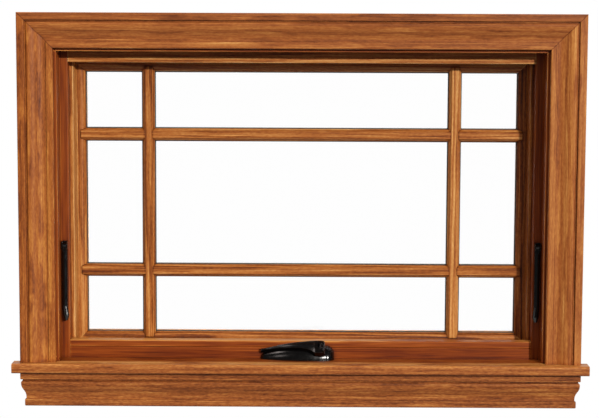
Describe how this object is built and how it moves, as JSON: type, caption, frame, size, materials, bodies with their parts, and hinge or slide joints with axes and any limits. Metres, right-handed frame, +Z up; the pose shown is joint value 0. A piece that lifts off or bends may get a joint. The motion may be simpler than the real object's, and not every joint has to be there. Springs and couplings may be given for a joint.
{
  "type": "top hung awning window",
  "caption": "Stained wood awning window with divided lites, moulded casing, stool and apron, side locks and a folding crank; fills a wall opening and swings out at the bottom for air.",
  "frame": {"origin": "Centre of the window frame's underside, midway along the frame and midway through its depth.", "axes": "X runs along the wall to the right as seen from the room, Y runs out of the room, Z is up."},
  "size_m": [1.0404, 0.168, 0.7105],
  "materials": {
    "stained_wood": "semi-gloss stain",
    "clear_glass": "clear",
    "spacer_metal": "matt grey",
    "black_hardware": "gloss black"
  },
  "bodies": {
    "window": {"left_jamb": "stained_wood", "right_jamb": "stained_wood", "head_jamb": "stained_wood", "frame_sill": "stained_wood", "head_casing": "stained_wood", "left_casing": "stained_wood", "right_casing": "stained_wood", "apron": "stained_wood", "stool": "stained_wood", "left_stop": "stained_wood", "right_stop": "stained_wood", "head_stop": "stained_wood", "cover_board": "stained_wood", "sill_stop": "stained_wood", "sash_left_stile": "stained_wood", "sash_top_rail": "stained_wood", "sash_right_stile": "stained_wood", "sash_bottom_rail": "stained_wood", "left_glazing_bead": "stained_wood", "top_glazing_bead": "stained_wood", "right_glazing_bead": "stained_wood", "bottom_glazing_bead": "stained_wood", "left_bar": "stained_wood", "right_bar": "stained_wood", "upper_bars": "stained_wood", "lower_bars": "stained_wood", "outer_left_bar": "stained_wood", "outer_right_bar": "stained_wood", "outer_upper_bars": "stained_wood", "outer_lower_bars": "stained_wood", "inner_pane": "clear_glass", "outer_pane": "clear_glass", "glass_spacer": "spacer_metal", "left_lock_plate": "black_hardware", "right_lock_plate": "black_hardware", "crank_cover": "black_hardware", "crank_hub": "black_hardware"},
    "left_lever": {"left_lock_lever": "black_hardware"},
    "right_lever": {"right_lock_lever": "black_hardware"},
    "crank_arm": {"crank_arm": "black_hardware"}
  },
  "joints": [
    {"name": "left_lever_turn", "type": "hinge", "parent": "window", "child": "left_lever", "pos_m": [-0.43065, -0.0295, 0.2515], "axis": [-1, 0, 0], "range_deg": [0, 150]},
    {"name": "right_lever_turn", "type": "hinge", "parent": "window", "child": "right_lever", "pos_m": [0.43065, -0.0295, 0.2515], "axis": [-1, 0, 0], "range_deg": [0, 150]},
    {"name": "crank_arm_fold", "type": "hinge", "parent": "window", "child": "crank_arm", "pos_m": [0.0385, -0.04241, 0.06628], "axis": [0, 0.7431, 0.6691], "range_deg": [0, 170]}
  ]
}
